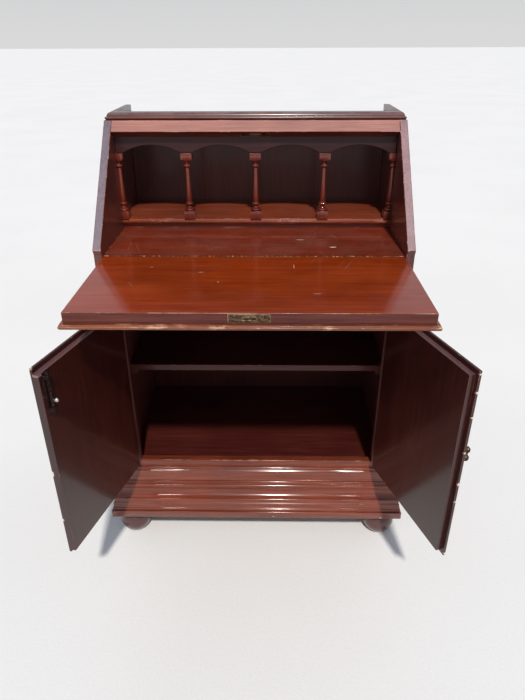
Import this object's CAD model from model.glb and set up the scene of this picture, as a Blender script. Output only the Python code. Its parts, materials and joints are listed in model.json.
"""Looks of a fall-front writing bureau, built around the CAD frame. Metres, +Z up, front towards -Y."""
import bmesh
import bpy
import json
import math
from mathutils import Matrix, Vector

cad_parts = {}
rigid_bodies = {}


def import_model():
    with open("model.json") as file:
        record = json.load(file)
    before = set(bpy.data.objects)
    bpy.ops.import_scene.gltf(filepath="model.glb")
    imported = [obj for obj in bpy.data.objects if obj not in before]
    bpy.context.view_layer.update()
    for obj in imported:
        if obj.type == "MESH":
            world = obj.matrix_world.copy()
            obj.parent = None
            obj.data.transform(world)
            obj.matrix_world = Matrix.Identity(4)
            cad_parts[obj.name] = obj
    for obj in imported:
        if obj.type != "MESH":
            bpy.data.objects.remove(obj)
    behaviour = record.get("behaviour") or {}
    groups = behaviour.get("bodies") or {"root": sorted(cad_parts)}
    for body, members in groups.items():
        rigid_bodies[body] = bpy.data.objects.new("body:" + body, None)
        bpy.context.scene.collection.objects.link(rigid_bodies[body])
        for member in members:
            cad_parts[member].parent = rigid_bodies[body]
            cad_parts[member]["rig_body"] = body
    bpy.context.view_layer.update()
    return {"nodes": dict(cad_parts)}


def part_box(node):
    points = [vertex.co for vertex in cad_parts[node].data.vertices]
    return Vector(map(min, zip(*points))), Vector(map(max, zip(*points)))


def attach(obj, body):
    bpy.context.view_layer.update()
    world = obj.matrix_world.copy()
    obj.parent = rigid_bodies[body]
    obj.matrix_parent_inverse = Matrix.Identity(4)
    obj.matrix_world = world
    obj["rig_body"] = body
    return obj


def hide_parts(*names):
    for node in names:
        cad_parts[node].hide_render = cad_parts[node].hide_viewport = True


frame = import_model()
FLOOR_HALF = 60.0
LIGHT_TRAVEL = Vector((-0.065, 0.642, -0.764))
SENSOR_WIDTH_MM = 36.0
LENS_MM = 29.988
CAMERA_PLACE = (0.0365, -1.3338, 1.1647)
PITCH_DOWN, TURN_LEFT, ROLL = (math.radians(angle) for angle in (28.47, 0.95, -0.22))
SKY_STOPS = ((0.0, (0.96, 0.96, 0.965)), (0.10, (0.86, 0.87, 0.89)),
             (0.45, (0.66, 0.72, 0.82)), (1.0, (0.50, 0.58, 0.74)))
BODY_OF = {name: node["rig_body"] for name, node in frame["nodes"].items()}


# ---------------------------------------------------------------- material nodes
def new_tree(name):
    """A new node material, emptied: its tree and the shader that ends it."""
    material = bpy.data.materials.new(name)
    material.use_nodes = True
    tree = material.node_tree
    tree.nodes.clear()
    shader = tree.nodes.new("ShaderNodeBsdfPrincipled")
    output = tree.nodes.new("ShaderNodeOutputMaterial")
    tree.links.new(shader.outputs["BSDF"], output.inputs["Surface"])
    return material, tree, shader


def add(tree, kind, inputs=None, **settings):
    """A shader node with its settings and inputs. An input is a constant or another node's output."""
    made = tree.nodes.new("ShaderNode" + kind)
    for key, setting in settings.items():
        setattr(made, key, setting)
    for key, given in (inputs or {}).items():
        if isinstance(given, bpy.types.NodeSocket):
            tree.links.new(given, made.inputs[key])
        else:
            made.inputs[key].default_value = given
    return made


def place(tree):
    """Where a point of the piece lies at rest, in the row frame."""
    return add(tree, "TexCoord").outputs["Object"]


def stretched(tree, along, ratio, turn=(0, 0, 0)):
    """Coordinates that change slowly along one axis, so that a pattern on them runs along it."""
    scale = [1.0, 1.0, 1.0]
    scale["XYZ".index(along)] = ratio
    inputs = {"Vector": place(tree), "Scale": scale, "Rotation": turn}
    return add(tree, "Mapping", inputs).outputs["Vector"]


def noise(tree, vector, scale, detail=3.0, rough=0.5, distortion=0.0):
    inputs = {"Vector": vector, "Scale": scale, "Detail": detail, "Roughness": rough,
              "Distortion": distortion}
    return add(tree, "TexNoise", inputs).outputs["Fac"]


def spread(tree, source, low, high, to_low=0.0, to_high=1.0):
    """A value stretched from low..high to to_low..to_high, held at both ends."""
    inputs = {"Value": source, "From Min": low, "From Max": high, "To Min": to_low, "To Max": to_high}
    return add(tree, "MapRange", inputs, clamp=True).outputs["Result"]


def combine(tree, operation, first, second):
    made = add(tree, "Math", {0: first, 1: second}, operation=operation, use_clamp=True)
    return made.outputs["Value"]


def mixed(tree, factor, first, second, blend="MIX"):
    """Two colours mixed by a factor."""
    made = add(tree, "Mix", data_type="RGBA", blend_type=blend)
    for index, given in ((0, factor), (6, first), (7, second)):
        if isinstance(given, bpy.types.NodeSocket):
            tree.links.new(given, made.inputs[index])
        elif index == 0:
            made.inputs[index].default_value = given
        else:
            made.inputs[index].default_value = (*given, 1.0)
    return made.outputs[2]


def bumped(tree, shader, height, strength, depth):
    inputs = {"Height": height, "Strength": strength, "Distance": depth}
    tree.links.new(add(tree, "Bump", inputs).outputs["Normal"], shader.inputs["Normal"])


def ramp(tree, source, stops):
    """A colour ramp: stops are pairs of place and colour."""
    made = add(tree, "ValToRGB", {"Fac": source})
    elements = made.color_ramp.elements
    while len(elements) < len(stops):
        elements.new(0.5)
    for element, (position, colour) in zip(elements, stops):
        element.position = position
        element.color = (*colour, 1.0)
    return made.outputs["Color"]


def near(tree, centre, reach, ragged=0.6):
    """A mask that is 1 round a point and ends in a ragged edge, reach metres away. reach may differ
    by axis."""
    scale = [1 / r for r in (reach if isinstance(reach, tuple) else (reach,) * 3)]
    from_centre = {0: place(tree), 1: tuple(centre)}
    offset = add(tree, "VectorMath", from_centre, operation="SUBTRACT").outputs["Vector"]
    scaled = add(tree, "VectorMath", {0: offset, 1: scale}, operation="MULTIPLY").outputs["Vector"]
    distance = add(tree, "VectorMath", {0: scaled}, operation="LENGTH").outputs["Value"]
    wobble = noise(tree, place(tree), 2.2 / min(1 / s for s in scale), 4, 0.7)
    moved = {0: wobble, 1: -2 * ragged, 2: distance}
    warped = add(tree, "Math", moved, operation="MULTIPLY_ADD").outputs["Value"]
    return spread(tree, warped, 0.92 - ragged, 1.0 - ragged, 1.0, 0.0)


def any_of(tree, masks):
    """The strongest of several masks."""
    result = masks[0]
    for mask in masks[1:]:
        result = combine(tree, "MAXIMUM", result, mask)
    return result


def scratches(tree, turn, amount, fineness=260.0):
    """Thin straight scratches in one direction, broken up by a slow noise. turn is about Z, in degrees."""
    turned = {"Vector": place(tree), "Rotation": (0, 0, math.radians(turn))}
    line = add(tree, "Mapping", turned).outputs["Vector"]
    line = add(tree, "Mapping", {"Vector": line, "Scale": (0.025, 1.0, 1.0)}).outputs["Vector"]
    cuts = spread(tree, noise(tree, line, fineness, 1, 0.5), 0.735, 0.775)
    where = spread(tree, noise(tree, place(tree), 7.0, 2, 0.5), 0.62 - amount, 0.72 - amount)
    return combine(tree, "MULTIPLY", cuts, where)


RAW_WOOD = (0.33, 0.145, 0.06)
PALE_WOOD = (0.72, 0.55, 0.40)
STAIN = (0.012, 0.006, 0.006)
DUST = (0.42, 0.36, 0.33)
SCRATCH = [0.45 * c + 0.04 for c in PALE_WOOD]
CLOUD_STOPS = ((0.32, (0.78, 0.76, 0.80)), (0.5, (1.0, 1.0, 1.0)), (0.70, (1.16, 1.12, 1.04)))


def wood(name, along, tones, gloss=0.3, coat=0.35, polish=0.15, wear=0.0, scuffs=(), chips=(), stains=(),
         dust=0.0, haze=0.5, figure=1.0, relief=0.18, raw=RAW_WOOD, chip_colour=PALE_WOOD):
    """Stained and polished mahogany.
    along: axis of the grain. tones: dark, middle and light colour.
    gloss: roughness of the wood under the polish.
    coat, polish: strength and roughness of the polish over it. haze: strength of the wood's own sheen.
    wear: how much of the surface is rubbed to the colour raw.
    scuffs: directions of scratches, in degrees about Z.
    chips, stains: (centre, reach) of pale chips and of dark marks. dust: how much pale bloom lies on it.
    figure: contrast of the grain. relief: strength of its bump."""
    material, tree, shader = new_tree(name)
    bands = noise(tree, stretched(tree, along, 0.05), 26.0, 3, 0.6, 0.5)
    streaks = noise(tree, stretched(tree, along, 0.035), 170.0, 4, 0.65, 0.2)
    fibres = noise(tree, stretched(tree, along, 0.02), 620.0, 2, 0.6)
    pores = spread(tree, noise(tree, stretched(tree, along, 0.035), 1300.0, 1, 0.5), 0.62, 0.76)
    cloud = noise(tree, place(tree), 5.0, 3, 0.55)
    tone = None
    for source, share in ((bands, 0.24), (streaks, 0.42), (fibres, 0.34)):
        tone = add(tree, "Math", {0: source, 1: share, 2: 0.0 if tone is None else tone},
                   operation="MULTIPLY_ADD").outputs["Value"]
    dark, middle, light = tones
    reach = 0.15 / figure
    colour = ramp(tree, tone, ((0.5 - reach, dark), (0.5, middle), (0.5 + reach, light)))
    colour = mixed(tree, combine(tree, "MULTIPLY", pores, 0.5), colour, [0.3 * c for c in dark])
    shade = ramp(tree, cloud, CLOUD_STOPS)
    colour = mixed(tree, 1.0, colour, shade, "MULTIPLY")
    mottle = add(tree, "Math", {0: cloud, 1: streaks}, operation="ADD").outputs["Value"]
    rough = spread(tree, mottle, 0.7, 1.3, gloss - 0.05, gloss + 0.09)
    if wear:
        patches = noise(tree, stretched(tree, along, 0.35), 60.0, 5, 0.7)
        rubbed = spread(tree, patches, 0.66 - wear * 0.4, 0.76 - wear * 0.4)
        colour = mixed(tree, combine(tree, "MULTIPLY", rubbed, 0.85), colour, raw)
        rough = combine(tree, "ADD", rough, combine(tree, "MULTIPLY", rubbed, 0.15))
    for turn in scuffs:
        line = scratches(tree, turn, 0.06)
        colour = mixed(tree, combine(tree, "MULTIPLY", line, 0.30), colour, SCRATCH)
    if chips:
        hole = any_of(tree, [near(tree, centre, reach) for centre, reach in chips])
        colour = mixed(tree, hole, colour, chip_colour)
        rough = combine(tree, "ADD", rough, combine(tree, "MULTIPLY", hole, 0.4))
    if stains:
        mark = any_of(tree, [near(tree, centre, reach, 0.3) for centre, reach in stains])
        colour = mixed(tree, combine(tree, "MULTIPLY", mark, 0.85), colour, STAIN)
    if dust:
        up = add(tree, "SeparateXYZ", {0: add(tree, "NewGeometry").outputs["Normal"]}).outputs["Z"]
        patch = spread(tree, noise(tree, place(tree), 13.0, 6, 0.7), 0.42, 0.75)
        bloom = combine(tree, "MULTIPLY", combine(tree, "MULTIPLY", patch, spread(tree, up, 0.3, 0.9)), dust)
        colour = mixed(tree, bloom, colour, DUST)
    tree.links.new(colour, shader.inputs["Base Color"])
    tree.links.new(rough, shader.inputs["Roughness"])
    shader.inputs["Specular IOR Level"].default_value = haze
    shader.inputs["Coat Weight"].default_value = coat
    shader.inputs["Coat Roughness"].default_value = polish
    height = add(tree, "Math", {0: streaks, 1: 0.35, 2: 0.0}, operation="MULTIPLY_ADD").outputs["Value"]
    height = add(tree, "Math", {0: pores, 1: -0.6, 2: height}, operation="MULTIPLY_ADD").outputs["Value"]
    bumped(tree, shader, height, relief, 0.0004)
    return material


def metal(name, bright, dull, tarnish, gloss):
    """Brass or steel that has gone dull in patches. tarnish: how much of it."""
    material, tree, shader = new_tree(name)
    patch = spread(tree, noise(tree, place(tree), 130.0, 6, 0.7), 0.72 - tarnish, 0.86 - tarnish)
    fine = noise(tree, place(tree), 900.0, 3, 0.6)
    tree.links.new(mixed(tree, patch, bright, dull), shader.inputs["Base Color"])
    tree.links.new(spread(tree, patch, 0.0, 1.0, gloss, gloss + 0.3), shader.inputs["Roughness"])
    shader.inputs["Metallic"].default_value = 1.0
    bumped(tree, shader, fine, 0.15, 0.0003)
    return material


FALL_TONES = ((0.150, 0.0130, 0.0008), (0.228, 0.0260, 0.0016), (0.310, 0.0470, 0.0045))
BED_TONES = ((0.105, 0.0110, 0.0035), (0.165, 0.0215, 0.0070), (0.225, 0.0360, 0.0140))
SHELF_TONES = ((0.135, 0.0190, 0.0060), (0.205, 0.0350, 0.0120), (0.270, 0.0560, 0.0210))
CASE_TONES = ((0.052, 0.0100, 0.0080), (0.092, 0.0210, 0.0160), (0.140, 0.0380, 0.0270))
DOOR_TONES = ((0.016, 0.0026, 0.0022), (0.030, 0.0050, 0.0036), (0.048, 0.0092, 0.0058))
INNER_TONES = ((0.038, 0.0052, 0.0042), (0.064, 0.0100, 0.0075), (0.094, 0.0180, 0.0120))
APRON_TONES = ((0.020, 0.0045, 0.0055), (0.034, 0.0085, 0.0100), (0.054, 0.0145, 0.0150))
MOULD_TONES = ((0.080, 0.0130, 0.0060), (0.150, 0.0290, 0.0130), (0.235, 0.0550, 0.0260))
TURNED_TONES = ((0.065, 0.0065, 0.0035), (0.120, 0.0150, 0.0070), (0.180, 0.0290, 0.0140))
FOOT_TONES = ((0.045, 0.0120, 0.0110), (0.075, 0.0220, 0.0200), (0.110, 0.0350, 0.0300))
RAIL_TONES = ((0.210, 0.0700, 0.0500), (0.310, 0.1150, 0.0840), (0.420, 0.1750, 0.1300))
LEFT_STRIP_TONES = ((0.090, 0.0640, 0.0820), (0.135, 0.0990, 0.1240), (0.190, 0.1420, 0.1700))
RIGHT_STRIP_TONES = ((0.180, 0.0960, 0.1060), (0.270, 0.1540, 0.1620), (0.355, 0.2160, 0.2200))
DOOR_TOP_TONES = ((0.070, 0.0300, 0.0320), (0.110, 0.0520, 0.0540), (0.160, 0.0800, 0.0800))
LIP_TONES = ((0.085, 0.0180, 0.0070), (0.150, 0.0380, 0.0150), (0.240, 0.0800, 0.0380))
PLY_TONES = ((0.120, 0.0580, 0.0280), (0.190, 0.0980, 0.0500), (0.260, 0.1450, 0.0800))
BLOCK_TONES = ((0.160, 0.0850, 0.0420), (0.240, 0.1400, 0.0720), (0.310, 0.1950, 0.1100))
PINK_SHINE = (0.58, 0.34, 0.29)
ORANGE_SHINE = (0.52, 0.24, 0.12)
GREY_WOOD = (0.20, 0.135, 0.115)


def spot(node, along, reach):
    """A place in the box of a node, by fractions of its width, depth and height, and the mark's reach."""
    foot, head = (Vector(corner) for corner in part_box(node))
    return [foot[i] + (head[i] - foot[i]) * along[i] for i in range(3)], reach


BED_CHIPS = [spot("writing_bed", (0.77, 0.16, 1), (0.007, 0.003, 0.01)),
             spot("writing_bed", (0.66, 0.30, 1), (0.010, 0.0012, 0.01))]
FALL_CHIPS = [spot("fall_panel", (0.63, 0.80, 1), (0.001, 0.012, 0.01)),
              spot("fall_panel", (0.18, 0.78, 1), (0.003, 0.0012, 0.01)),
              spot("fall_panel", (0.34, 0.68, 1), (0.006, 0.0012, 0.01)),
              spot("fall_panel", (0.40, 0.50, 1), (0.002, 0.002, 0.01)),
              spot("fall_panel", (0.69, 0.30, 1), (0.008, 0.001, 0.01)),
              spot("fall_panel", (0.02, 0.0, 0.9), (0.004, 0.002, 0.003)),
              spot("fall_panel", (0.985, 0.0, 0.9), (0.004, 0.002, 0.003))]
LEFT_LIP_CHIPS = [spot("door_left_facing", (0.02, 0.01, 0.47), (0.004, 0.004, 0.006)),
                  spot("door_left_facing", (0.02, 0.0, 1.0), (0.006, 0.006, 0.003)),
                  spot("door_left_facing", (0.02, 0.0, 0.20), (0.003, 0.003, 0.003))]
LEFT_CORE_CHIPS = [spot("door_left_panel", (0.08, 0.03, 0.995), (0.009, 0.012, 0.004))]
LEFT_CORE_STAINS = [spot("door_left_panel", (0.20, 0.035, 0.955), (0.010, 0.010, 0.014)),
                    spot("door_left_panel", (0.25, 0.090, 0.925), (0.004, 0.004, 0.004))]
RIGHT_LIP_CHIPS = [spot("door_right_facing", (0.97, 0.01, up), (0.003, 0.0036, long))
                   for up, long in ((0.985, 0.0025), (0.90, 0.003), (0.78, 0.002), (0.60, 0.0025),
                                    (0.43, 0.005), (0.33, 0.002), (0.012, 0.004))]
RIGHT_CORE_CHIPS = [spot("door_right_panel", (0.93, 0.03, up), (0.002, 0.003, long))
                    for up, long in ((0.82, 0.003), (0.66, 0.005), (0.35, 0.002), (0.10, 0.0025))]
RAIL_CHIPS = [spot("base_front", (0.49, 0.0, 1.0), (0.016, 0.003, 0.0025)),
              spot("base_front", (0.33, 0.0, 1.0), (0.004, 0.002, 0.0015))]
PLINTH_CHIPS = [spot("plinth_front", (across, out, up), (0.0025, 0.002, 0.0015))
                for across, out, up in ((0.012, 0.05, 0.02), (0.56, 0.0, 0.03), (0.93, 0.0, 0.02),
                                        (0.20, 0.55, 0.65))]

WOODS = {
    "case_z": wood("case_upright", "Z", CASE_TONES, 0.38, 0.4),
    "case_x": wood("case_across", "X", CASE_TONES, 0.38, 0.5, dust=0.10),
    "case_y": wood("case_deep", "Y", CASE_TONES, 0.38, 0.3),
    "inner_x": wood("inner_across", "X", INNER_TONES, 0.45, 0.25, haze=0.3),
    "inner_z": wood("inner_upright", "Z", INNER_TONES, 0.45, 0.25, haze=0.3),
    "apron": wood("apron_across", "X", APRON_TONES, 0.45, 0.15, haze=0.25),
    "rail": wood("rail_across", "X", RAIL_TONES, 0.42, 0.3, haze=0.7),
    "strip_left": wood("strip_left", "Z", LEFT_STRIP_TONES, 0.45, 0.3, haze=0.6),
    "strip_right": wood("strip_right", "Z", RIGHT_STRIP_TONES, 0.45, 0.3, haze=0.6),
    "fall": wood("fall_across", "X", FALL_TONES, 0.45, 1.0, 0.12, scuffs=(62, -68, 8), chips=FALL_CHIPS,
                 dust=0.02, haze=0.05, chip_colour=(0.50, 0.24, 0.14)),
    "fall_front": wood("fall_front", "X", CASE_TONES, 0.42, 0.35, 0.2, haze=0.12),
    "door_top": wood("door_top", "Y", DOOR_TOP_TONES, 0.45, 0.5, 0.2, haze=0.4),
    "bed": wood("bed_across", "X", BED_TONES, 0.45, 0.8, 0.09, scuffs=(12, -17, 71), chips=BED_CHIPS,
                dust=0.07, haze=0.12),
    "shelf": wood("shelf_across", "X", SHELF_TONES, 0.42, 0.5, 0.12, dust=0.05, haze=0.15),
    "door_left": wood("left_door_upright", "Z", DOOR_TONES, 0.42, 0.8, 0.13, chips=LEFT_CORE_CHIPS,
                      stains=LEFT_CORE_STAINS, haze=0.15, chip_colour=GREY_WOOD),
    "door_right": wood("right_door_upright", "Z", DOOR_TONES, 0.42, 0.75, 0.13, chips=RIGHT_CORE_CHIPS,
                       haze=0.15, chip_colour=GREY_WOOD),
    "lip_left": wood("left_door_lip", "Z", DOOR_TONES, 0.42, 0.7, 0.16, chips=LEFT_LIP_CHIPS, haze=0.15),
    "lip_right": wood("right_door_lip", "Z", DOOR_TONES, 0.42, 0.7, 0.16, chips=RIGHT_LIP_CHIPS, haze=0.15),
    "base_front": wood("base_rail", "X", MOULD_TONES, 0.42, 0.8, 0.14, chips=RAIL_CHIPS, haze=0.12,
                       chip_colour=(0.42, 0.24, 0.16)),
    "mould_x": wood("mould_across", "X", MOULD_TONES, 0.42, 1.0, 0.13, chips=PLINTH_CHIPS, haze=0.12,
                    relief=0.03, chip_colour=(0.55, 0.38, 0.24)),
    "mould_y": wood("mould_deep", "Y", MOULD_TONES, 0.42, 1.0, 0.13, haze=0.12, relief=0.03),
    "top_mould_x": wood("top_mould_across", "X", CASE_TONES, 0.42, 0.9, 0.25, dust=0.35, haze=0.5),
    "top_mould_y": wood("top_mould_deep", "Y", CASE_TONES, 0.45, 0.7, 0.28, dust=0.35, haze=0.5),
    "turned": wood("turned_upright", "Z", TURNED_TONES, 0.32, 1.0, 0.06, haze=0.2),
    "foot": wood("foot_turned", "Z", FOOT_TONES, 0.34, 1.0, 0.10, haze=0.3, figure=0.4),
    "lip": wood("worn_lip", "X", LIP_TONES, 0.38, 0.6, 0.15, wear=0.25, haze=0.2, raw=ORANGE_SHINE),
    "ply": wood("back_ply", "Z", PLY_TONES, 0.62, 0.0),
    "blocks": wood("block_wood", "X", BLOCK_TONES, 0.65, 0.0),
}
EDGES = {
    "case": wood("case_arris", "X", MOULD_TONES, 0.38, wear=0.34, haze=0.3, raw=PINK_SHINE),
    "fall": wood("fall_arris", "X", ((0.17, 0.050, 0.025), (0.28, 0.100, 0.055), (0.42, 0.19, 0.11)), 0.36,
                 wear=0.42, haze=0.3, raw=(0.80, 0.56, 0.40)),
    "mould": wood("mould_arris", "X", MOULD_TONES, 0.36, 1.0, 0.16, wear=0.12, haze=0.3, relief=0.03,
                  raw=PINK_SHINE),
    "door": wood("door_arris", "Z", ((0.03, 0.008, 0.006), (0.06, 0.020, 0.015), (0.11, 0.045, 0.035)), 0.38,
                 wear=0.22, haze=0.3, raw=(0.36, 0.22, 0.17)),
}
METALS = {
    "hinge": metal("hinge_brass", (0.26, 0.105, 0.050), (0.11, 0.034, 0.018), 0.34, 0.42),
    "aged_brass": metal("dark_brass", (0.19, 0.12, 0.065), (0.060, 0.038, 0.026), 0.30, 0.36),
    "bright_line": metal("rubbed_brass", (0.62, 0.46, 0.30), (0.30, 0.19, 0.11), 0.22, 0.32),
    "bolt_iron": metal("bolt_iron", (0.075, 0.045, 0.042), (0.026, 0.014, 0.013), 0.30, 0.48),
    "steel": metal("dull_steel", (0.55, 0.54, 0.53), (0.28, 0.25, 0.23), 0.18, 0.36),
}


# ---------------------------------------------------------------- pieces
def softened(node, finish, edge=None, width=0.0011, sharpest=28.0, round_work=False, accents=()):
    """A finished piece made from a CAD node: its flat faces joined up, its arrises eased and worn.
    accents: (direction, finish) for the faces that look in a direction of their own.
    It stands for the node, and rides on the node's body."""
    source = frame["nodes"][node]
    mesh = source.data.copy()
    mesh.name = node + "_finished"
    piece = bpy.data.objects.new(node + "_finished", mesh)
    bpy.context.scene.collection.objects.link(piece)
    work = bmesh.new()
    work.from_mesh(mesh)
    bmesh.ops.remove_doubles(work, verts=work.verts, dist=2e-6)
    bmesh.ops.dissolve_limit(work, angle_limit=math.radians(0.4), verts=work.verts, edges=work.edges)
    limit = math.radians(sharpest)
    for face in work.faces:
        face.smooth = round_work
        face.material_index = 0
        for index, (direction, _) in enumerate(accents, start=2):
            if face.normal.dot(direction) > 0.97:
                face.material_index = index
    arrises = [e for e in work.edges if e.is_manifold and e.calc_face_angle() > limit]
    if width and arrises:
        eased = bmesh.ops.bevel(work, geom=arrises, offset=width, offset_type="OFFSET", segments=2,
                                profile=0.5, affect="EDGES", clamp_overlap=True, material=1)
        for face in eased["faces"]:
            face.smooth = True
    mesh.materials.clear()
    mesh.materials.append(finish)
    mesh.materials.append(edge or finish)
    for _, accent in accents:
        mesh.materials.append(accent)
    work.to_mesh(mesh)
    work.free()
    if round_work:
        mesh.set_sharp_from_angle(angle=math.radians(38))
    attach(piece, BODY_OF[node])
    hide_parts(node)
    return piece


SLOPE_NORMAL = Vector((0.0, -0.728, 0.686))
FRONT = Vector((0.0, -1.0, 0.0))
BACK = Vector((0.0, 1.0, 0.0))
UP = Vector((0.0, 0.0, 1.0))
ACCENTS = {
    "side_left": ((SLOPE_NORMAL, WOODS["strip_left"]),),
    "side_right": ((SLOPE_NORMAL, WOODS["strip_right"]),),
    "back_panel": ((BACK, WOODS["ply"]),),
    "top_rail": ((SLOPE_NORMAL, WOODS["rail"]),),
    "fall_panel": ((FRONT, WOODS["fall_front"]),),
    "door_left_panel": ((UP, WOODS["door_top"]),),
    "door_right_panel": ((UP, WOODS["door_top"]),),
}
BOARDS = (
    ("side_left", "case_z", "case"), ("side_right", "case_z", "case"),
    ("top_rail", "inner_x", "case"), ("top_panel", "top_mould_x", "case"),
    ("base_board", "inner_x", None), ("base_front", "base_front", "case"),
    ("cupboard_floor", "inner_x", None), ("back_panel", "inner_z", None),
    ("dust_board", "inner_x", None), ("writing_bed", "bed", "case"),
    ("frieze_rail", "case_x", "case"), ("shelf_riser", "bed", "case"),
    ("cupboard_shelf", "inner_x", "door"), ("stile_left", "inner_z", None),
    ("stile_right", "inner_z", None), ("head_rail", "case_x", None),
    ("fall_panel", "fall", "fall"), ("fall_facing", "lip", "fall"),
    ("door_left_panel", "door_left", "door"), ("door_right_panel", "door_right", "door"),
    ("door_left_facing", "lip_left", "door"), ("door_right_facing", "lip_right", "door"),
    ("loper_left", "case_y", None), ("loper_right", "case_y", None),
    ("arcade_apron", "apron", None), ("stationery_shelf", "shelf", "case"),
    ("apron_batten", "inner_x", None), ("shelf_battens", "inner_x", None),
)
for node, finish, edge in BOARDS:
    softened(node, WOODS[finish], EDGES.get(edge), accents=ACCENTS.get(node, ()))
for node, finish in (("plinth_front", "mould_x"), ("plinth_left", "mould_y"), ("plinth_right", "mould_y"),
                     ("gallery_front", "top_mould_x"), ("gallery_left", "top_mould_y"),
                     ("gallery_right", "top_mould_y")):
    softened(node, WOODS[finish], EDGES["mould"], width=0.0007, sharpest=35.0, round_work=True)
for node in ("columns", "end_columns"):
    softened(node, WOODS["turned"], EDGES["case"], width=0.0006, sharpest=55.0, round_work=True)
softened("feet", WOODS["foot"], None, width=0.0006, sharpest=55.0, round_work=True)
for node in ("bed_bearer", "hidden_blocks", "loper_guides"):
    softened(node, WOODS["blocks"])
for node, finish, edge in (
    ("lock_strike_plate", "aged_brass", None), ("bed_hinge_leaf", "hinge", None),
    ("fall_hinge_pin", "hinge", None),
    ("fall_hinge_leaf", "hinge", None), ("frame_hinge_leaves", "aged_brass", None),
    ("door_hinge_pins", "aged_brass", None), ("door_left_hinge_leaves", "aged_brass", None),
    ("door_right_hinge_leaves", "aged_brass", None), ("fall_lock_case", "steel", None),
    ("fall_lock_selvage", "aged_brass", "bright_line"), ("fall_lock_screws", "aged_brass", None),
    ("fall_lock_bolt", "aged_brass", "bright_line"), ("fall_escutcheon", "aged_brass", None),
    ("left_bolt_plate", "bolt_iron", None), ("left_bolt_rod", "bolt_iron", None),
    ("left_bolt_knob", "steel", None),
    ("right_handle_plate", "aged_brass", "bright_line"), ("right_handle_post", "aged_brass", None),
    ("right_handle_drop", "aged_brass", None),
):
    softened(node, METALS[finish], METALS.get(edge), width=0.00025, sharpest=40.0, round_work=True)


# ---------------------------------------------------------------- stage, light and camera
def build_stage():
    """A plain pale concrete floor."""
    mesh = bpy.data.meshes.new("pale_floor")
    corners = [(x * FLOOR_HALF, y * FLOOR_HALF, 0) for x, y in ((-1, -1), (1, -1), (1, 1), (-1, 1))]
    mesh.from_pydata(corners, [], [(0, 1, 2, 3)])
    floor = bpy.data.objects.new("pale_floor", mesh)
    bpy.context.scene.collection.objects.link(floor)
    material, tree, shader = new_tree("pale_concrete")
    blotch = noise(tree, place(tree), 1.1, 4, 0.55)
    speck = noise(tree, place(tree), 160.0, 4, 0.7)
    colour = ramp(tree, blotch, ((0.2, (0.745, 0.730, 0.710)), (0.8, (0.80, 0.785, 0.765))))
    colour = mixed(tree, spread(tree, speck, 0.35, 0.72, 0.0, 0.14), colour, (0.50, 0.485, 0.47))
    tree.links.new(colour, shader.inputs["Base Color"])
    shader.inputs["Roughness"].default_value = 0.95
    shader.inputs["Specular IOR Level"].default_value = 0.2
    bumped(tree, shader, speck, 0.2, 0.002)
    mesh.materials.append(material)


def build_lights():
    """High soft light from the front, a little from the right, under a pale sky."""
    lamp = bpy.data.lights.new("high_light", "SUN")
    lamp.energy = 3.1
    lamp.angle = math.radians(3.0)
    lamp.color = (1.0, 0.97, 0.92)
    sun = bpy.data.objects.new("high_light", lamp)
    sun.rotation_euler = LIGHT_TRAVEL.to_track_quat("-Z", "Y").to_euler()
    bpy.context.scene.collection.objects.link(sun)
    world = bpy.data.worlds.new("pale_sky")
    bpy.context.scene.world = world
    world.use_nodes = True
    tree = world.node_tree
    tree.nodes.clear()
    up = add(tree, "SeparateXYZ", {0: add(tree, "TexCoord").outputs["Generated"]}).outputs["Z"]
    sky = ramp(tree, up, SKY_STOPS)
    light = add(tree, "Background", {"Color": sky, "Strength": 0.72})
    output = tree.nodes.new("ShaderNodeOutputWorld")
    tree.links.new(light.outputs["Background"], output.inputs["Surface"])


def build_camera():
    """A camera above the bureau's top, looking down at it from the front."""
    data = bpy.data.cameras.new("front_camera")
    data.sensor_width = SENSOR_WIDTH_MM
    data.lens = LENS_MM
    camera = bpy.data.objects.new("front_camera", data)
    turned = Matrix.Rotation(TURN_LEFT, 4, "Z") @ Matrix.Rotation(math.pi / 2 - PITCH_DOWN, 4, "X")
    camera.matrix_world = Matrix.Translation(CAMERA_PLACE) @ turned @ Matrix.Rotation(ROLL, 4, "Z")
    bpy.context.scene.collection.objects.link(camera)
    bpy.context.scene.camera = camera


build_stage()
build_lights()
build_camera()
bpy.context.scene.view_settings.view_transform = "Standard"
